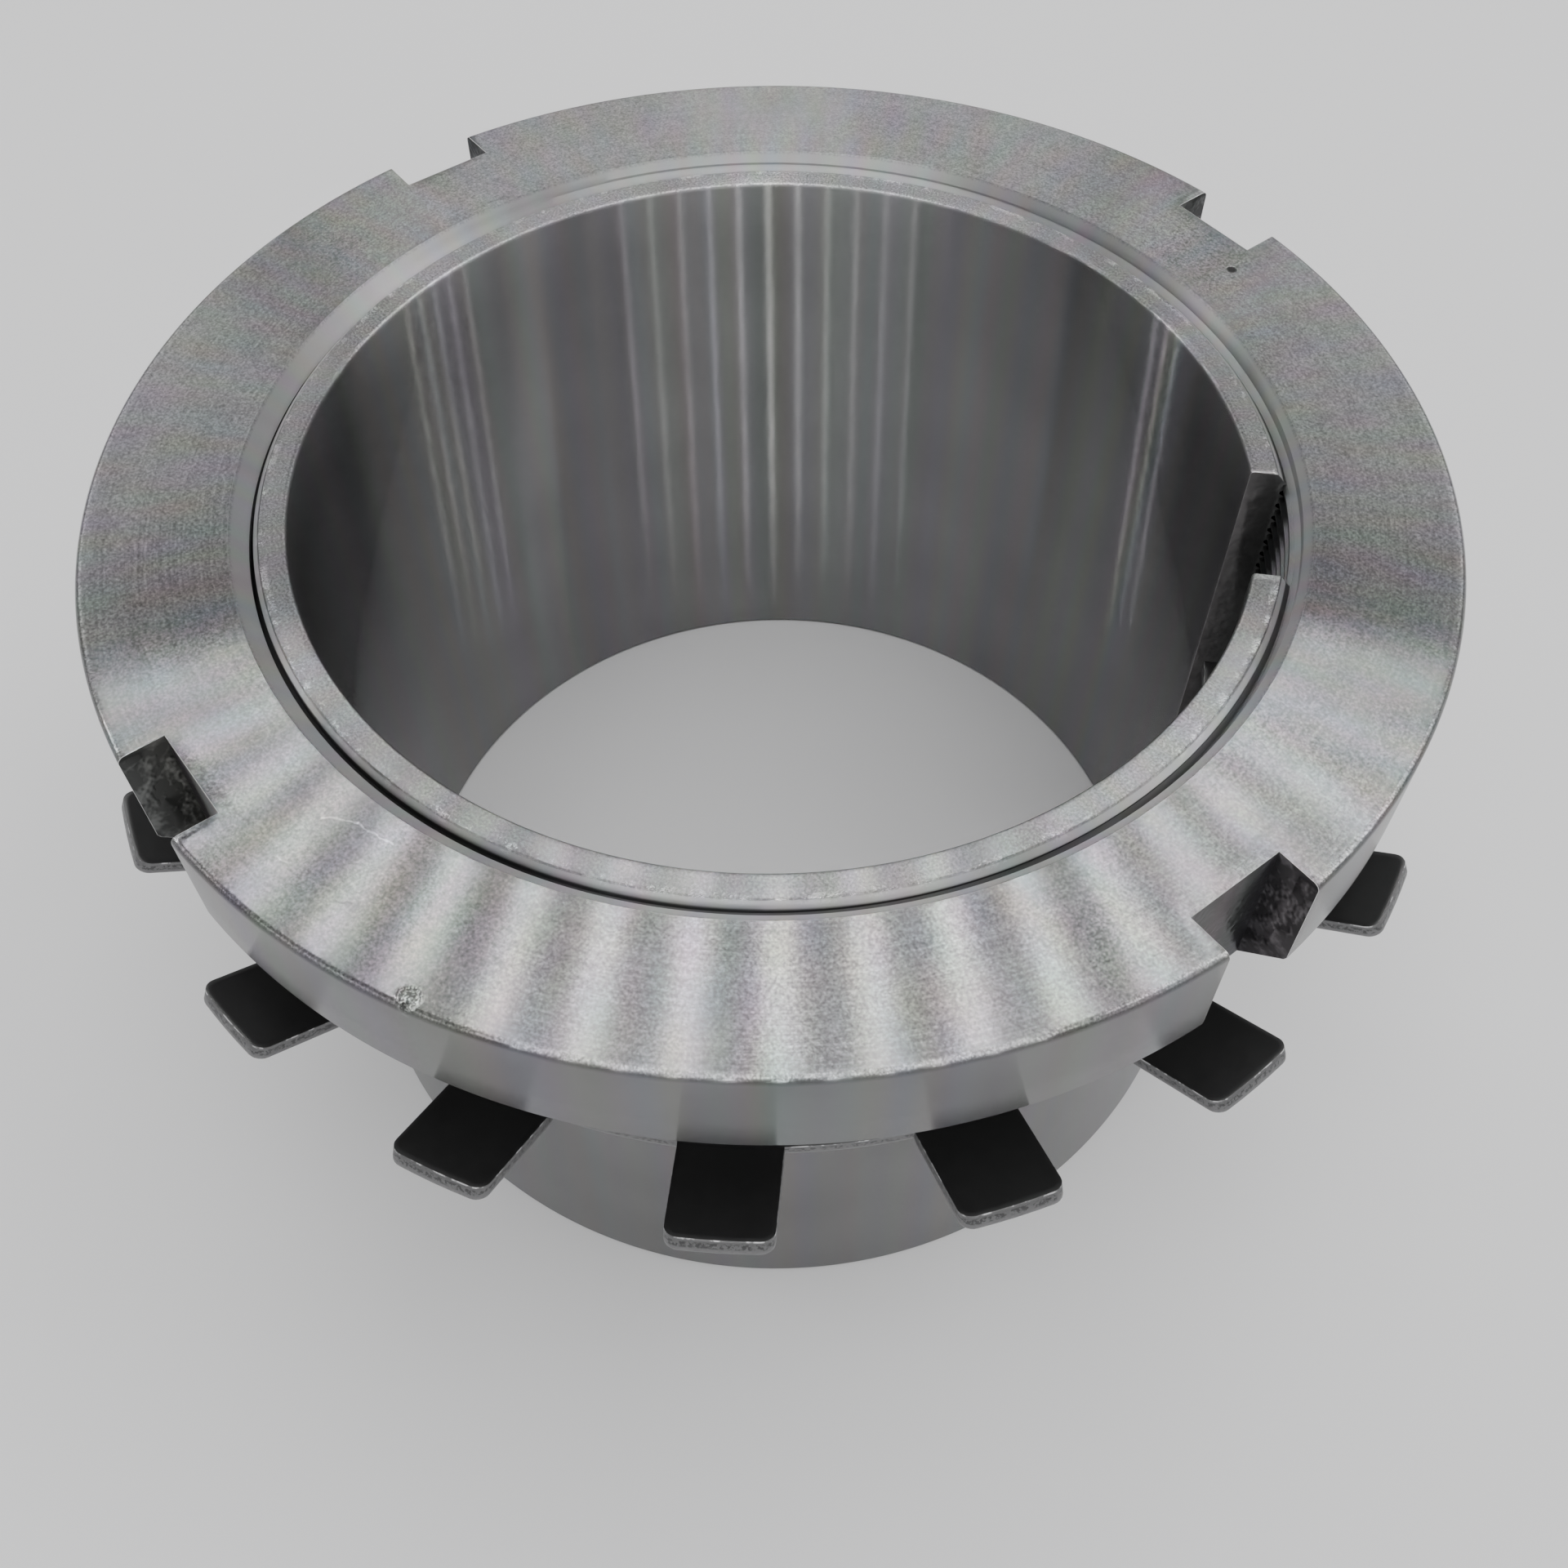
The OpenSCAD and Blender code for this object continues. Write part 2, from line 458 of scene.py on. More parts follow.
def sleeve_section():
    root_half = CREST_HALF + THREAD_DEPTH * FLANK
    ridge = [
        (THREAD_R, CREST_HALF),
        (THREAD_R - THREAD_DEPTH, root_half),
        (THREAD_R - THREAD_DEPTH, PITCH - root_half),
        (THREAD_R, PITCH - CREST_HALF),
    ]
    seat_foot = THREAD_R + SEAT_TOP / (2 * TAPER)
    foot_edge = [
        (seat_foot - EDGE_CHAMFER, 0),
        (seat_foot - EDGE_CHAMFER * 0.3, EDGE_CHAMFER * 0.3),
        (seat_foot - EDGE_CHAMFER / (2 * TAPER), EDGE_CHAMFER),
    ]
    return (
        plain([(BORE_R + EDGE_CHAMFER, 0)] + foot_edge)
        + plain([(THREAD_R + (SEAT_TOP - z) / (2 * TAPER), z) for z in (20.0, 40.0, 57.0)])
        + [(THREAD_R, SEAT_TOP, 0, 0)]
        + thread_rows(SEAT_TOP, SLEEVE_LEN, ridge)
        + plain([(THREAD_R - RIM_CHAMFER, SLEEVE_LEN)])
        + plain([(THREAD_R - RIM_CHAMFER - 0.3, SLEEVE_LEN), (BORE_R + EDGE_CHAMFER + 0.2, SLEEVE_LEN)])
        + plain(arc(BORE_R + EDGE_CHAMFER, SLEEVE_LEN - EDGE_CHAMFER, EDGE_CHAMFER, 90, 180, 4))
        + plain([(BORE_R, z) for z in (80.0, 60.0, 40.0, 20.0, 2.0)])
        + plain([(BORE_R, EDGE_CHAMFER)])
    )


def nut_section():
    chamfer_top = NUT_Z + NUT_R - NUT_FACE_R
    groove_half = CREST_HALF + THREAD_PLAY - (NUT_BORE_R - THREAD_R) * FLANK
    ridge_half = groove_half + (NUT_BORE_R - NUT_MINOR_R) * FLANK
    groove = [
        (NUT_BORE_R, groove_half),
        (NUT_MINOR_R, ridge_half),
        (NUT_MINOR_R, PITCH - ridge_half),
        (NUT_BORE_R, PITCH - groove_half),
    ]
    rising = thread_rows(NUT_Z, NUT_TOP, groove)
    return (
        plain([(NUT_MOUTH_R, NUT_Z), (NUT_MOUTH_R + 0.4, NUT_Z), (NUT_FACE_R - 0.3, NUT_Z)])
        + plain([(NUT_FACE_R + 0.21, NUT_Z + 0.21)])
        + [(SLOT_FLOOR, NUT_Z + SLOT_FLOOR - NUT_FACE_R, 0, 2)]
        + plain([(NUT_R - 0.25, chamfer_top - 0.25), (NUT_R, chamfer_top + 0.3)])
        + plain([(NUT_R, chamfer_top + 5.0), (NUT_R, NUT_TOP - NUT_EDGE_R - 3.0)])
        + plain(arc(NUT_R - NUT_EDGE_R, NUT_TOP - NUT_EDGE_R, NUT_EDGE_R, 0, 90, 6))
        + plain([(NUT_R - NUT_EDGE_R - 0.4, NUT_TOP)])
        + [(SLOT_FLOOR, NUT_TOP, 0, 1)]
        + plain([(SLOT_FLOOR - 2.0, NUT_TOP), (NUT_MOUTH_R + 0.4, NUT_TOP), (NUT_MOUTH_R, NUT_TOP)])
        + rising[::-1]
    )


def sector_plan(with_tab):
    """One tang's share of the blank, as points and four-sided faces, with the edge columns at its borders"""
    half_pitch = math.pi / TANGS
    # How far beyond the ring each row of the tang lies: four rows round the bend, then the straight
    tip_rows = [0.22, 0.44, 0.66, 0.873, 2.0, 4.0, 6.5, 9.0, 11.0]
    # How far past the start of the tip's rounded corner its own rows and columns lie
    corner = [0.0, 0.4, 0.8, 1.5]
    tang_in = TANG_HALF - corner[-1]
    lines = sorted({s * (tang_in + c) for s in (-1, 1) for c in corner} | {0.0, 2.1, -2.1})
    tang_edge = math.asin(TANG_HALF / WASHER_BORE_R)
    tab_share = (math.asin(TAB_HALF / WASHER_BORE_R) - tang_edge) / (half_pitch - tang_edge)
    gaps = [tab_share, 0.45, 0.72, 1.0]

    def angle_at(column, r):
        if column[0] == "tang":
            return math.asin(column[1] / r)
        edge = math.asin(TANG_HALF / r)
        return column[1] * (edge + column[2] * (half_pitch - edge))

    columns = [("gap", -1, g) for g in reversed(gaps)] + [("tang", y) for y in lines]
    columns += [("gap", 1, g) for g in gaps]
    ring_rows = [WASHER_BORE_R, WASHER_BORE_R + 0.7, 62.0, 64.5, 67.0, RING_R - 0.7, RING_R]
    points, faces, index = [], [], {}

    def point(key, x, y):
        if key not in index:
            index[key] = len(points)
            points.append((x, y))
        return index[key]

    def ring_point(c, r):
        a = angle_at(columns[c], r)
        return point((c, round(r, 4)), r * math.cos(a), r * math.sin(a))

    def face(place, c, d, inner, outer):
        faces.append((place(c, inner), place(c, outer), place(d, outer), place(d, inner)))

    for c in range(len(columns) - 1):
        for inner, outer in zip(ring_rows, ring_rows[1:]):
            face(ring_point, c, c + 1, inner, outer)

    last = TIP_LENGTH - corner[-1]
    tang_rows = [RING_R] + [RING_R + s for s in tip_rows if RING_R + s < last - 0.5]
    tang_rows += [last + c for c in corner]

    def tang_point(c, r):
        y = columns[c][1]
        over_r, over_y = r - last, abs(y) - tang_in
        if over_r > 0 and over_y > 0:
            shrink = max(over_r, over_y) / math.hypot(over_r, over_y)
            r, y = last + over_r * shrink, math.copysign(tang_in + over_y * shrink, y)
        key = (c, "tang", round(over_r, 4)) if over_r > 0 else (c, round(r, 4))
        return point(key, math.sqrt(r * r - y * y), y)

    tang_columns = [i for i, column in enumerate(columns) if column[0] == "tang"]
    for c in tang_columns[:-1]:
        for inner, outer in zip(tang_rows, tang_rows[1:]):
            face(tang_point, c, c + 1, inner, outer)

    if with_tab:
        tab_columns = [i for i, c in enumerate(columns) if c[0] == "tang" or c[2] == tab_share]
        tab_rows = [TAB_END_R, TAB_END_R + 0.7, 57.5, WASHER_BORE_R - 0.7]

        def tab_point(c, x):
            if x is None:
                return ring_point(c, WASHER_BORE_R)
            y = columns[c][1] * TAB_HALF if columns[c][0] == "gap" else columns[c][1]
            return point((c, "tab", x), x, y)

        for c, d in zip(tab_columns, tab_columns[1:]):
            for inner, outer in zip(tab_rows, tab_rows[1:] + [None]):
                face(tab_point, c, d, inner, outer)
    return points, faces


def sheared_sector(with_tab):
    """The slab of one sector: top and bottom skins, and the sheared edge with its rolled lower corner"""
    points, faces = sector_plan(with_tab)
    # A dictionary for its order: the sides come in the order of the faces, the same each run
    used = dict.fromkeys(side for face in faces for side in zip(face, face[1:] + face[:1]))
    half_pitch = math.pi / TANGS

    def on_border(i):
        return abs(abs(math.atan2(points[i][1], points[i][0])) - half_pitch) < 1e-5

    rim = [(a, b) for a, b in used if (b, a) not in used and not (on_border(a) and on_border(b))]
    inward = {}
    for a, b in rim:
        dx, dy = points[b][0] - points[a][0], points[b][1] - points[a][1]
        size = math.hypot(dx, dy)
        for i in (a, b):
            inward.setdefault(i, []).append((-dy / size, dx / size))
    shift = {}
    for i, sides in inward.items():
        nx, ny = sum(s[0] for s in sides), sum(s[1] for s in sides)
        if on_border(i):
            r = math.hypot(*points[i])
            sign = math.copysign(1.0, nx * points[i][0] + ny * points[i][1])
            shift[i] = (sign * points[i][0] / r, sign * points[i][1] / r)
            continue
        size = math.hypot(nx, ny)
        nx, ny = nx / size, ny / size
        reach = max(nx * sides[0][0] + ny * sides[0][1], 0.6)
        shift[i] = (nx / reach, ny / reach)
    # The sheared edge from the top skin down, as inset and height
    profile = [(0.05, SHEET), (0.0, SHEET - 0.05), (0.0, 1.1), (0.0, 0.5)]
    profile += [(0.05, 0.25), (0.18, 0.08), (0.42, 0.0)]
    verts, quads, depths = [], [], []

    def layer(inset, height, members):
        start = len(verts)
        place = {}
        for i in members:
            dx, dy = shift.get(i, (0.0, 0.0))
            place[i] = start + len(place)
            verts.append(((points[i][0] + dx * inset) * MM, (points[i][1] + dy * inset) * MM, height * MM))
            depths.append(1 - height / SHEET)
        return place

    everyone = range(len(points))
    top = layer(*profile[0], everyone)
    bottom = layer(*profile[-1], everyone)
    quads += [tuple(top[i] for i in face) for face in faces]
    quads += [tuple(bottom[i] for i in reversed(face)) for face in faces]
    walls = [top] + [layer(*step, sorted(shift)) for step in profile[1:-1]] + [bottom]
    for upper, lower in zip(walls, walls[1:]):
        quads += [(upper[b], upper[a], lower[a], lower[b]) for a, b in rim]
    return verts, quads, depths


def washer_base():
    """Both sectors in one mesh, marked by whether they have the tab"""
    verts, quads, tabs, depths = [], [], [], []
    for with_tab in (False, True):
        v, q, d = sheared_sector(with_tab)
        quads += [tuple(i + len(verts) for i in face) for face in q]
        verts += v
        tabs += [float(with_tab)] * len(v)
        depths += d
    mesh = bpy.data.meshes.new("washer_sectors")
    mesh.from_pydata(verts, [], quads)
    for key, marks in (("has_tab", tabs), ("cut_depth", depths)):
        mesh.attributes.new(key, "FLOAT", "POINT").data.foreach_set("value", marks)
    return mesh


def finished(piece, breaks, size, angle=32):
    """Closes open ends, breaks chosen sharp edges and shades by angle"""
    bm = bmesh.new()
    bm.from_mesh(piece.data)
    bmesh.ops.dissolve_degenerate(bm, dist=WELD * 0.5, edges=bm.edges)
    open_edges = [e for e in bm.edges if e.is_boundary]
    if open_edges:
        bmesh.ops.holes_fill(bm, edges=open_edges, sides=0)
    bmesh.ops.recalc_face_normals(bm, faces=bm.faces)
    chosen = [e for e in bm.edges if len(e.link_faces) == 2 and breaks(e)]
    if chosen:
        shape = {"segments": 2, "profile": 0.6, "affect": "EDGES", "clamp_overlap": True}
        bmesh.ops.bevel(bm, geom=chosen, offset=size * MM, **shape)
    for face in bm.faces:
        face.smooth = True
    for edge in bm.edges:
        if len(edge.link_faces) == 2 and edge.calc_face_angle(0) > math.radians(angle):
            edge.smooth = False
    bm.to_mesh(piece.data)
    bm.free()


def along_slit(x, y):
    """A place in plan, as how far it lies along the slit's direction and across it"""
    c, s = math.cos(SLIT_ANGLE), math.sin(SLIT_ANGLE)
    return x * c + y * s, y * c - x * s


# Finishes: turned, forged and blackened steel


def material(name):
    made = bpy.data.materials.new(name)
    made.use_nodes = True
    made.node_tree.nodes.clear()
    return made, made.node_tree


def object_point(tree):
    place = node(tree, "ShaderNodeTexCoord", out="Object")
    split = node(tree, "ShaderNodeSeparateXYZ", (), {0: place})
    x, y, z = split, split.out("Y"), split.out("Z")
    return place, x, y, z, root(x * x + y * y)


def noise(tree, vector, scale, detail, rough, out=0):
    sockets = {"Vector": vector, "Scale": scale, "Detail": detail, "Roughness": rough}
    return node(tree, "ShaderNodeTexNoise", (), sockets, out)


def finish_surface(tree, base, rough, metal, height, distance, extra, normal=None):
    shape = {"Height": height, "Distance": distance, "Strength": 1.0, "Filter Width": 0.004}
    if normal is not None:
        shape["Normal"] = normal
    bump = node(tree, "ShaderNodeBump", (), shape)
    sockets = {"Base Color": base, "Roughness": rough, "Metallic": metal, "Normal": bump}
    sockets.update(extra)
    shader = node(tree, "ShaderNodeBsdfPrincipled", (), sockets)
    node(tree, "ShaderNodeOutputMaterial", (), {"Surface": shader})


def vector_maths(tree, operation, *values):
    return node(tree, "ShaderNodeVectorMath", {"operation": operation}, enumerate(values))


def leaned(tree, place, steep):
    """The surface's own normal, leaned at random across turning marks too fine to be seen one by one"""
    chance = node(tree, "ShaderNodeTexWhiteNoise", {"noise_dimensions": "3D"}, {"Vector": place}, "Color")
    split = node(tree, "ShaderNodeSeparateXYZ", (), {0: chance})
    slope = (split + split.out("Y") - 1.0) * steep
    normal = node(tree, "ShaderNodeNewGeometry", out="Normal")
    ways = {"vector_type": "VECTOR", "convert_from": "OBJECT", "convert_to": "WORLD"}
    round_axis = vector_maths(tree, "CROSS_PRODUCT", (0, 0, 1), place)
    along = node(tree, "ShaderNodeVectorTransform", ways, {"Vector": round_axis})
    across = vector_maths(tree, "NORMALIZE", vector_maths(tree, "CROSS_PRODUCT", normal, along))
    lean = node(tree, "ShaderNodeVectorMath", {"operation": "SCALE"}, {0: across, "Scale": slope})
    return vector_maths(tree, "NORMALIZE", vector_maths(tree, "ADD", normal, lean))


def grooves(tree, x, y, r, fine):
    """Turning marks: noise that varies quickly along the radius and slowly round the axis"""
    far = {"X": r * fine, "Y": x / r * 2.5, "Z": y / r * 2.5}
    return noise(tree, node(tree, "ShaderNodeCombineXYZ", (), far), 1.0, 1.0, 0.5)


def grey(tree, value):
    return node(tree, "ShaderNodeCombineColor", (), {"Red": value, "Green": value, "Blue": value * 1.01})


def painted_rainbow(tree, value, x, y, r, strength):
    """A grey with faint painted rainbow streaks across the turning marks, standing in for the colours that
    fine marks split out of the light
    """
    polar = node(tree, "ShaderNodeCombineXYZ", (), {"X": x / r * 22.0, "Y": y / r * 22.0, "Z": r * 130.0})
    cloud = noise(tree, polar, 1.0, 0.0, 0.5, "Color")
    shift = vector_maths(tree, "SUBTRACT", cloud, (0.5, 0.5, 0.5))
    depth = node(tree, "ShaderNodeVectorMath", {"operation": "SCALE"}, {0: shift, "Scale": value * strength})
    return vector_maths(tree, "ADD", grey(tree, value), depth)


def crystals(tree, place):
    """The sparkling grain of the cut, the same all round"""
    return (noise(tree, place, 3500.0, 1.0, 0.5) - 0.5) * 1.4


def away(x, y, spot):
    """Distance in plan from a spot given in millimetres"""
    dx, dy = x - spot[0] * MM, y - spot[1] * MM
    return root(dx * dx + dy * dy)


def scratch(x, y, start, end, width):
    """1 along a straight scratch on a flat face, between two places in millimetres"""
    length = math.dist(start, end)
    ux, uy = (end[0] - start[0]) / length, (end[1] - start[1]) / length
    dx, dy = x - start[0] * MM, y - start[1] * MM
    along = clamp(dx * ux + dy * uy, 0.0, length * MM)
    dx, dy = dx - along * ux, dy - along * uy
    return ramp(root(dx * dx + dy * dy), width * MM, width * MM * 0.3)


TURNED = {"Anisotropic": 1.0, "Anisotropic Rotation": 0.25}
TURNED_BUMP = 0.0001
SHEET_BUMP = 0.000015
PUNCH_DOT = (7.58, 67.58)
NICK = (35.0, -67.6)

# Each scratch: its start and end in millimetres, its width, and how much lighter it is than the face
SCRATCHES = (
    ((12.6, -64.3), (15.4, -62.0), 0.16, 0.2),
    ((15.4, -62.0), (19.7, -60.6), 0.13, 0.2),
    ((22.0, -67.9), (23.0, -66.8), 0.14, -0.16),
    ((14.2, -70.0), (15.6, -69.3), 0.12, 0.12),
)


def faced_nut_steel():
    made, tree = material("faced_nut_steel")
    place, x, y, z, r = object_point(tree)
    top = ramp(z, (NUT_TOP - 0.35) * MM, (NUT_TOP - 0.05) * MM)
    facing = grooves(tree, x, y, r, 2600.0)
    grain = noise(tree, place, 4200.0, 1.0, 0.6)
    crystal = crystals(tree, place)
    mottle = noise(tree, place, 450.0, 2.0, 0.65)
    cloud = noise(tree, place, 100.0, 0.0, 0.5)

    # The spanner slots are left as forged on their walls and are smoother on their floors
    short, long = lesser(abs(x), abs(y)), greater(abs(x), abs(y))
    slot = (short < (SLOT_HALF + 0.03) * MM) * (long > (SLOT_FLOOR - 0.04) * MM)
    slot_floor = slot * (long < (SLOT_FLOOR + 0.05) * MM)
    scale = ramp(mottle, 0.42, 0.68)
    forged = pick(slot_floor, 0.065 + mottle * 0.05, 0.06 + scale * 0.085)

    # Wear on the top face: a punched dot, a nick in the edge and a few scratches
    wobble = (mottle - 0.5) * (0.9 * MM)
    wx, wy = x + wobble, y - wobble
    dot = top * ramp(away(x, y, PUNCH_DOT), 0.75 * MM, 0.45 * MM)
    chip = ramp(away(wx, wy, NICK), 1.5 * MM, 0.9 * MM) * ramp(z, (NUT_TOP - 1.4) * MM, (NUT_TOP - 0.6) * MM)
    chip_light = chip * ramp(grain, 0.45, 0.6)
    lined = 0.0
    for start, end, width, tone in SCRATCHES:
        lined = lined + top * scratch(wx, wy, start, end, width) * tone
    # The mouth's chamfer, rougher and less leaned than the faces, and painted lighter as a highlight
    mouth = (r < (NUT_MOUTH_R + 0.02) * MM) * ramp(z, (NUT_TOP - 3.0) * MM, (NUT_TOP - 1.5) * MM)
    # Painted highlight: lighter spots along the rounded outer edge of the top face
    bead = ramp(r, (NUT_R - 1.1) * MM, (NUT_R - 0.75) * MM)
    bead = bead * ramp(z, (NUT_TOP - 0.5) * MM, (NUT_TOP - 0.02) * MM)
    bright = bead * ramp(grain, 0.5, 0.62) * 0.12

    marks = (facing - 0.5) * (top * 0.1) + (cloud - 0.5) * 0.04 + crystal * (top * 0.3 + 0.02)
    # Painted light: the faced top gets a lighter grey than the turned sides and bore, which are painted
    # darker as shade, and the mouth's chamfer is painted lighter as a highlight
    wear_and_painted_light = pick(top, 0.3, 0.16 + mouth * 0.2) + marks + lined + bright
    wear_and_painted_light = wear_and_painted_light * (1 - dot * 0.85) * (1 - chip * 0.6) + chip_light * 0.35
    base = pick(slot, forged, wear_and_painted_light)
    rough = pick(slot, pick(slot_floor, 0.4, 0.62), 0.17 + mouth * 0.23 + (mottle - 0.5) * 0.03)
    fine = facing * (top * 0.15) + grain * 0.002
    normal = leaned(tree, place, (1 - slot) * pick(top, 0.12, 0.35 - mouth * 0.25))
    height = pick(slot, scale * 1.6 * (1 - slot_floor * 0.7), fine - dot * 3.0 + chip * (mottle * 3.0))
    colour = painted_rainbow(tree, base, x, y, r, 0.26)
    finish_surface(tree, colour, rough, 1.0 - slot * 0.25, height, TURNED_BUMP, TURNED, normal)
    return made


def turned_sleeve_steel():
    made, tree = material("turned_sleeve_steel")
    place, x, y, z, r = object_point(tree)
    rim = ramp(z, (SLEEVE_LEN - 0.3) * MM, (SLEEVE_LEN - 0.05) * MM)
    facing = grooves(tree, x, y, r, 2400.0)
    grain = noise(tree, place, 4200.0, 1.0, 0.6)
    mottle = noise(tree, place, 400.0, 2.0, 0.65)
    cloud = noise(tree, place, 80.0, 0.0, 0.5)
    ahead, aside = along_slit(x, y)
    wall = (abs(aside) < (SLIT_HALF + 0.02) * MM) * (ahead > 0.0)
    bore = (r < (BORE_R + 0.3) * MM) * (1 - rim)

    # Burrs where the rim meets its chamfer, raised in the bump, with glints painted on them as lighter grey
    ridge = THREAD_R - RIM_CHAMFER
    beside = ramp(abs(r - (ridge - 0.1) * MM), 0.9 * MM, 0.1 * MM)
    beside = beside * ramp(z, (SLEEVE_LEN - 0.8) * MM, (SLEEVE_LEN - 0.2) * MM)
    rim_burr_glint = beside * ramp(mottle + (grain - 0.5) * 0.5, 0.55, 0.67)

    outside = r > (ridge - 0.02) * MM
    sloped = outside * ramp(z, (SLEEVE_LEN - 3.0) * MM, (SLEEVE_LEN - 1.9) * MM) * (1 - rim)
    crystal = crystals(tree, place) * (rim * 0.3 + 0.02)
    marks = (facing - 0.5) * (rim * 0.08) + (cloud - 0.5) * 0.05 + crystal
    # Painted light: the rim face, the bore and most of all the rim's chamfer are painted lighter as
    # highlight, and the taper and thread darker as shade, from one and the same steel
    turned = 0.175 + rim * 0.155 + bore * 0.08 + sloped * 0.35 + marks + rim_burr_glint * 0.2

    # Painted shade: the start of the thread is painted dark, deep in the gap between the rim's chamfer and
    # the nut
    gap_shade = outside * ramp(z, (SLEEVE_LEN - 0.75) * MM, (SLEEVE_LEN - 1.05) * MM)
    gap_shade = gap_shade * ramp(z, (SLEEVE_LEN - 2.6) * MM, (SLEEVE_LEN - 2.1) * MM)
    turned = turned * (1 - gap_shade * 0.84)
    base = pick(wall, 0.08 + mottle * 0.1, turned)
    rough = pick(wall, 0.6, 0.17 - bore * 0.03 + sloped * 0.2 + (mottle - 0.5) * 0.03)
    fine = (facing * 0.15 + grain * 0.004 + rim_burr_glint * 0.4) * rim
    normal = leaned(tree, place, (1 - wall) * (0.4 + bore * 0.9 - sloped * 0.3))
    height = pick(wall, mottle * 2.0, fine)
    colour = painted_rainbow(tree, base, x, y, r, 0.18)
    finish_surface(tree, colour, rough, 1.0 - wall * 0.25, height, TURNED_BUMP, TURNED, normal)
    return made


def black_sheet():
    made, tree = material("black_sheet")
    place = node(tree, "ShaderNodeTexCoord", out="Object")
    depth = node(tree, "ShaderNodeAttribute", {"attribute_name": "cut_depth"}, out="Fac")
    grain = noise(tree, place, 2200.0, 3.0, 0.6)
    mottle = noise(tree, place, 700.0, 3.0, 0.6)
    cut = ramp(depth, 0.0, 0.03) * (1 - ramp(depth, 0.93, 1.0))
    torn = cut * ramp(abs(depth - 0.42), 0.3, 0.1) * ramp(grain, 0.42, 0.6)
    # Painted highlight: lighter spots along the top of the sheared edge, where its burr is
    edge_burr_glint = ramp(depth, 0.0, 0.02) * ramp(depth, 0.14, 0.05) * ramp(mottle, 0.5, 0.6)
    bare = 0.17 + (grain - 0.5) * 0.1 - torn * 0.11 + edge_burr_glint * 0.5
    base = pick(cut, bare, 0.018 + (mottle - 0.4) * 0.008)
    rough = pick(cut, 0.42, 0.32 + (mottle - 0.5) * 0.1)
    height = grain * (cut * 3.0 + 0.6) - torn * 2.0
    gloss = {"Specular IOR Level": 1.0}
    finish_surface(tree, grey(tree, base), rough, cut * 0.85, height, SHEET_BUMP, gloss)
    return made


# The three pieces


def sleeve_breaks(edge):
    for v in edge.verts:
        ahead, aside = along_slit(v.co.x, v.co.y)
        r = math.hypot(v.co.x, v.co.y) / MM
        z = v.co.z / MM
        on_thread = r > THREAD_R - 1.9 and SEAT_TOP < z < SLEEVE_LEN - 0.01
        if ahead < 0 or abs(abs(aside) - SLIT_HALF * MM) > 2e-6 or on_thread:
            return False
    return edge.calc_face_angle(0) > math.radians(50)


def nut_breaks(edge):
    for v in edge.verts:
        short, long = sorted((abs(v.co.x) / MM, abs(v.co.y) / MM))
        on_wall = abs(short - SLOT_HALF) < 0.002 and long > SLOT_FLOOR - 0.002
        on_floor = abs(long - SLOT_FLOOR) < 0.002 and short < SLOT_HALF + 0.002
        if not (on_wall or on_floor):
            return False
    if edge.calc_face_angle(0) < math.radians(40):
        return False
    return edge.is_convex


def build():
    section = section_mesh("sleeve_section", sleeve_section())
    sleeve = grown("turned_sleeve", section, sleeve_tree(), {"Material": turned_sleeve_steel()})
    finished(sleeve, sleeve_breaks, 0.25)
    section = section_mesh("nut_section", nut_section())
    nut = grown("faced_locknut", section, nut_tree(), {"Material": faced_nut_steel()})
    finished(nut, nut_breaks, 0.15)
    washer = grown("tanged_washer", washer_base(), washer_tree(), {"Material": black_sheet()})
    finished(washer, lambda e: False, 0.0, 60)
    for piece, body, cad, slot in (
        (sleeve, "sleeve_body", "sleeve", "turned_steel"),
        (nut, "nut_body", "locknut", "faced_steel"),
        (washer, "washer_body", "lock_washer", "blackened_sheet"),
    ):
        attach(piece, body)
        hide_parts(cad)


# Floor, light and camera


FLOOR_HALF = 4.0


def floor():
    mesh = bpy.data.meshes.new("pale_floor")
    corners = [(x * FLOOR_HALF, y * FLOOR_HALF, 0) for x, y in ((-1, -1), (1, -1), (1, 1), (-1, 1))]
    mesh.from_pydata(corners, [], [(0, 1, 2, 3)])
    made, tree = material("pale_floor")
    place = node(tree, "ShaderNodeTexCoord", out="Object")
    cloud = noise(tree, place, 3.0, 1.0, 0.5)
    shade = grey(tree, 0.8 + (cloud - 0.5) * 0.03)
    shader = node(tree, "ShaderNodeBsdfPrincipled", (), {"Base Color": shade, "Roughness": 0.7})
    node(tree, "ShaderNodeOutputMaterial", (), {"Surface": shader})
    mesh.materials.append(made)
    piece = bpy.data.objects.new("pale_floor", mesh)
    bpy.context.scene.collection.objects.link(piece)


# The photograph has its own frame: the same origin and Z, and Y straight away from the camera
PHOTO_TURN = math.radians(53.314)
CAMERA_PLACE = Vector((0, -0.140605, 0.220118))
CAMERA_LENS = 37.856
CAMERA_SHIFT = (-0.00627, 0.0015)
CAMERA_YAW = 0.0178
CAMERA_PITCH = 0.9443

# Lamps, in metres: where they aim, how far they stand off, and how large the narrow ones are
LAMP_AIM = Vector((0, 0, 0.08))
BOX_AWAY = 1.6
STRIP_AWAY = 1.4
STRIP_LENGTH = 0.3
BAND_WIDTH = 0.016
FAR_BAND_WIDTH = 0.15
STREAK_WIDTH = 0.01
WORLD_GREY = (0.3, 0.3, 0.3, 1.0)

# What the narrow lamps are set out from: spots on the steel in millimetres, and steps in degrees
BAND_SPOT_R = 69.0
BAND_STEP = 7.0
STREAK_SPOT_Z = 60.0
STREAK_STEP = 4.3
STREAK_RISE = 0.5


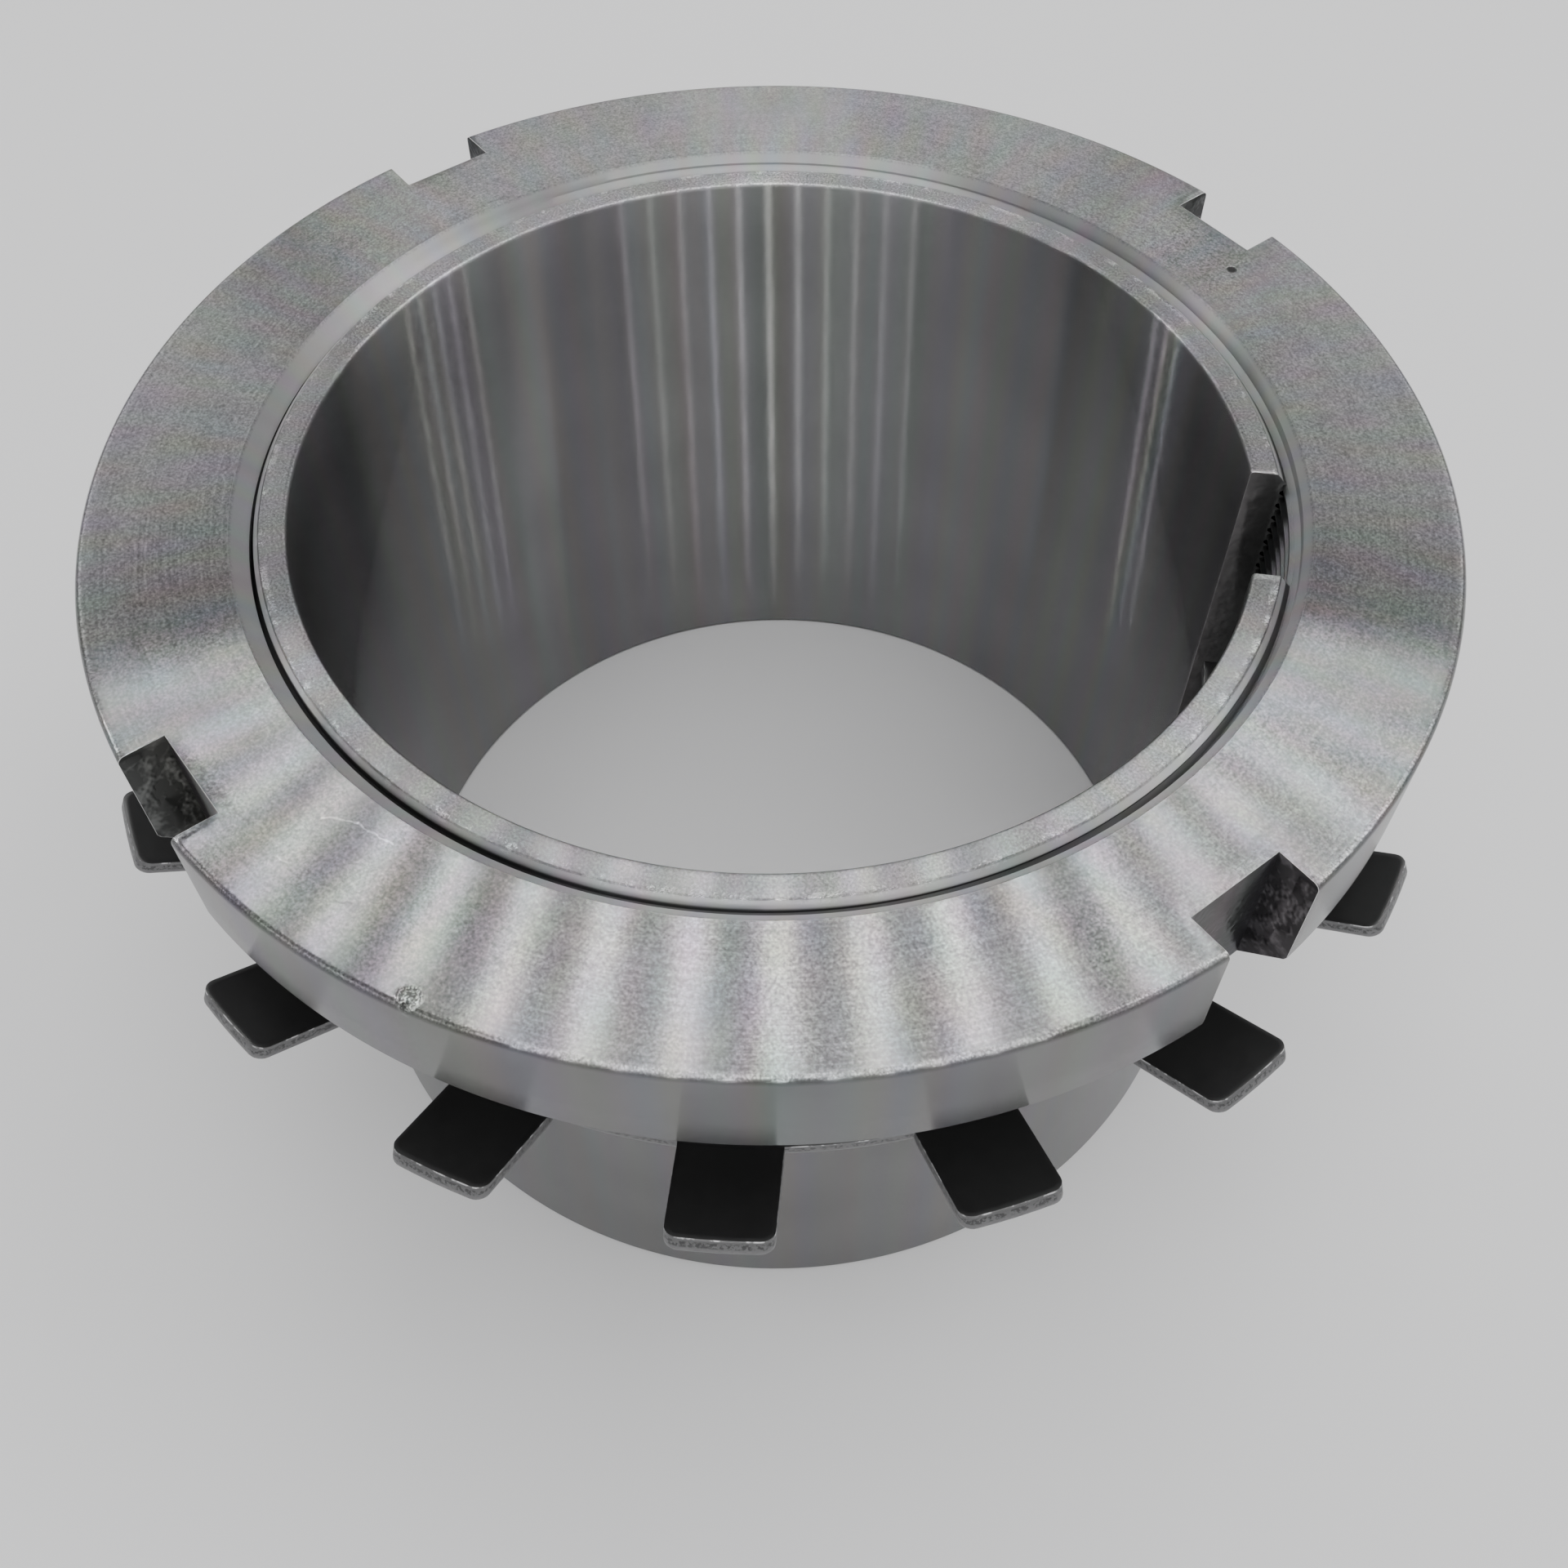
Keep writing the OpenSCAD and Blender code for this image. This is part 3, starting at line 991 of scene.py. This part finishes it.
def photo_to_row(x, y, z):
    """A direction or place given in the photograph's own frame, turned into the row frame"""
    c, s = math.cos(PHOTO_TURN), math.sin(PHOTO_TURN)
    return Vector((x * c - y * s, x * s + y * c, z))


def lamp(name, place, ahead, width, length, power):
    """A rectangular lamp that shines at the object, its length as near as it can be to the direction ahead"""
    light = bpy.data.lights.new(name, "AREA")
    light.shape = "RECTANGLE"
    light.size, light.size_y = width, length
    light.energy = power
    outward = place.normalized()
    aside = ahead.cross(outward).normalized()
    turn = Matrix((aside, outward.cross(aside), outward)).transposed()
    thing = bpy.data.objects.new(name, light)
    thing.matrix_world = Matrix.Translation(place + LAMP_AIM) @ turn.to_4x4()
    bpy.context.scene.collection.objects.link(thing)
    return light


def soft_box(name, azimuth, elevation, width, length, power):
    """A large lamp, by its azimuth to the right of straight away from the camera and its elevation"""
    a, e = math.radians(azimuth), math.radians(elevation)
    place = photo_to_row(math.sin(a) * math.cos(e), math.cos(a) * math.cos(e), math.sin(e))
    lamp(name, place * BOX_AWAY, Vector((0, 0, 1)), width, length, power)


def strip_lamp(name, spot, groove, way, width, power):
    """A narrow lamp seen from a spot on a turned face, laid across the groove that runs through the spot"""
    place = photo_to_row(*(spot + way * STRIP_AWAY)) - LAMP_AIM
    return lamp(name, place, photo_to_row(*way.cross(groove)), width, STRIP_LENGTH, power)


def band_lamp(name, angle, power, width):
    """Draws a bright band across the nut's top face, at an angle to the right of its near side's middle"""
    a = math.radians(angle)
    outward = Vector((math.sin(a), -math.cos(a), 0))
    spot = outward * (BAND_SPOT_R * MM) + Vector((0, 0, NUT_TOP * MM))
    view = (CAMERA_PLACE - spot).normalized()
    way = Vector((-view.x, -view.y, view.z))
    light = strip_lamp(name, spot, Vector((outward.y, -outward.x, 0)), way, width, power)
    light.cycles.use_multiple_importance_sampling = False


def bore_lamp(name, angle, power):
    """Draws a thin streak down the far side of the bore, at an angle to the left of its middle"""
    a = math.radians(angle)
    inward = Vector((math.sin(a), -math.cos(a), 0))
    groove = Vector((inward.y, -inward.x, 0))
    spot = inward * (-BORE_R * MM) + Vector((0, 0, STREAK_SPOT_Z * MM))
    across = -groove.dot((CAMERA_PLACE - spot).normalized())
    along = math.sqrt(1 - STREAK_RISE * STREAK_RISE - across * across)
    way = groove * across + inward * along + Vector((0, 0, STREAK_RISE))
    strip_lamp(name, spot, groove, way, STREAK_WIDTH, power)


def soft_boxes():
    """A lit ceiling, three high lamps and a ring of equal low ones"""
    soft_box("ceiling", 0, 89, 1.0, 1.0, 6.0)
    soft_box("right_high", 80, 52, 0.9, 0.9, 6.0)
    soft_box("near_high_left", -150, 62, 0.8, 0.8, 4.0)
    soft_box("near_high_right", 150, 62, 0.8, 0.8, 4.0)
    for i in range(9):
        soft_box("low_%d" % i, (i - 4) * 40, 30, 0.8, 0.6, 1.4)


def fan(count, step, middle=0.0):
    """Evenly spaced angles on both sides of a middle one"""
    return [middle + (i - (count - 1) / 2) * step for i in range(count)]


def strip_lamps():
    """Even rows of narrow lamps, which a turned face draws out into bright bands"""
    for i, angle in enumerate(fan(19, BAND_STEP)):
        band_lamp("band_%02d" % i, angle, 0.26 * math.cos(math.radians(angle)), BAND_WIDTH)
    for i, angle in enumerate((-130, 125, 180)):
        band_lamp("far_band_%d" % i, angle, 0.12, FAR_BAND_WIDTH)
    for i, angle in enumerate(fan(11, STREAK_STEP)):
        bore_lamp("bore_middle_%02d" % i, angle, 0.5 / (1 + abs(angle) / STREAK_STEP * 0.6))
    for i, angle in enumerate(fan(5, 2.8, 52.6)):
        bore_lamp("bore_left_%d" % i, angle, 0.15)
    for i, angle in enumerate(fan(3, 2.5, -66.0)):
        bore_lamp("bore_right_%d" % i, angle, 0.24)


def lights():
    soft_boxes()
    strip_lamps()
    world = bpy.data.worlds.new("studio")
    world.use_nodes = True
    tree = world.node_tree
    tree.nodes.clear()
    back = node(tree, "ShaderNodeBackground", (), {"Color": WORLD_GREY, "Strength": 1.0})
    node(tree, "ShaderNodeOutputWorld", (), {"Surface": back})
    bpy.context.scene.world = world


def camera():
    data = bpy.data.cameras.new("camera")
    data.sensor_width = 36
    data.lens = CAMERA_LENS
    data.shift_x, data.shift_y = CAMERA_SHIFT
    data.clip_start, data.clip_end = 0.01, 30
    thing = bpy.data.objects.new("camera", data)
    thing.location = photo_to_row(*CAMERA_PLACE)
    level = math.cos(CAMERA_PITCH)
    aim = photo_to_row(math.sin(CAMERA_YAW) * level, math.cos(CAMERA_YAW) * level, -math.sin(CAMERA_PITCH))
    thing.rotation_mode = "QUATERNION"
    thing.rotation_quaternion = aim.to_track_quat("-Z", "Y")
    bpy.context.scene.collection.objects.link(thing)
    bpy.context.scene.camera = thing


build()
floor()
lights()
camera()
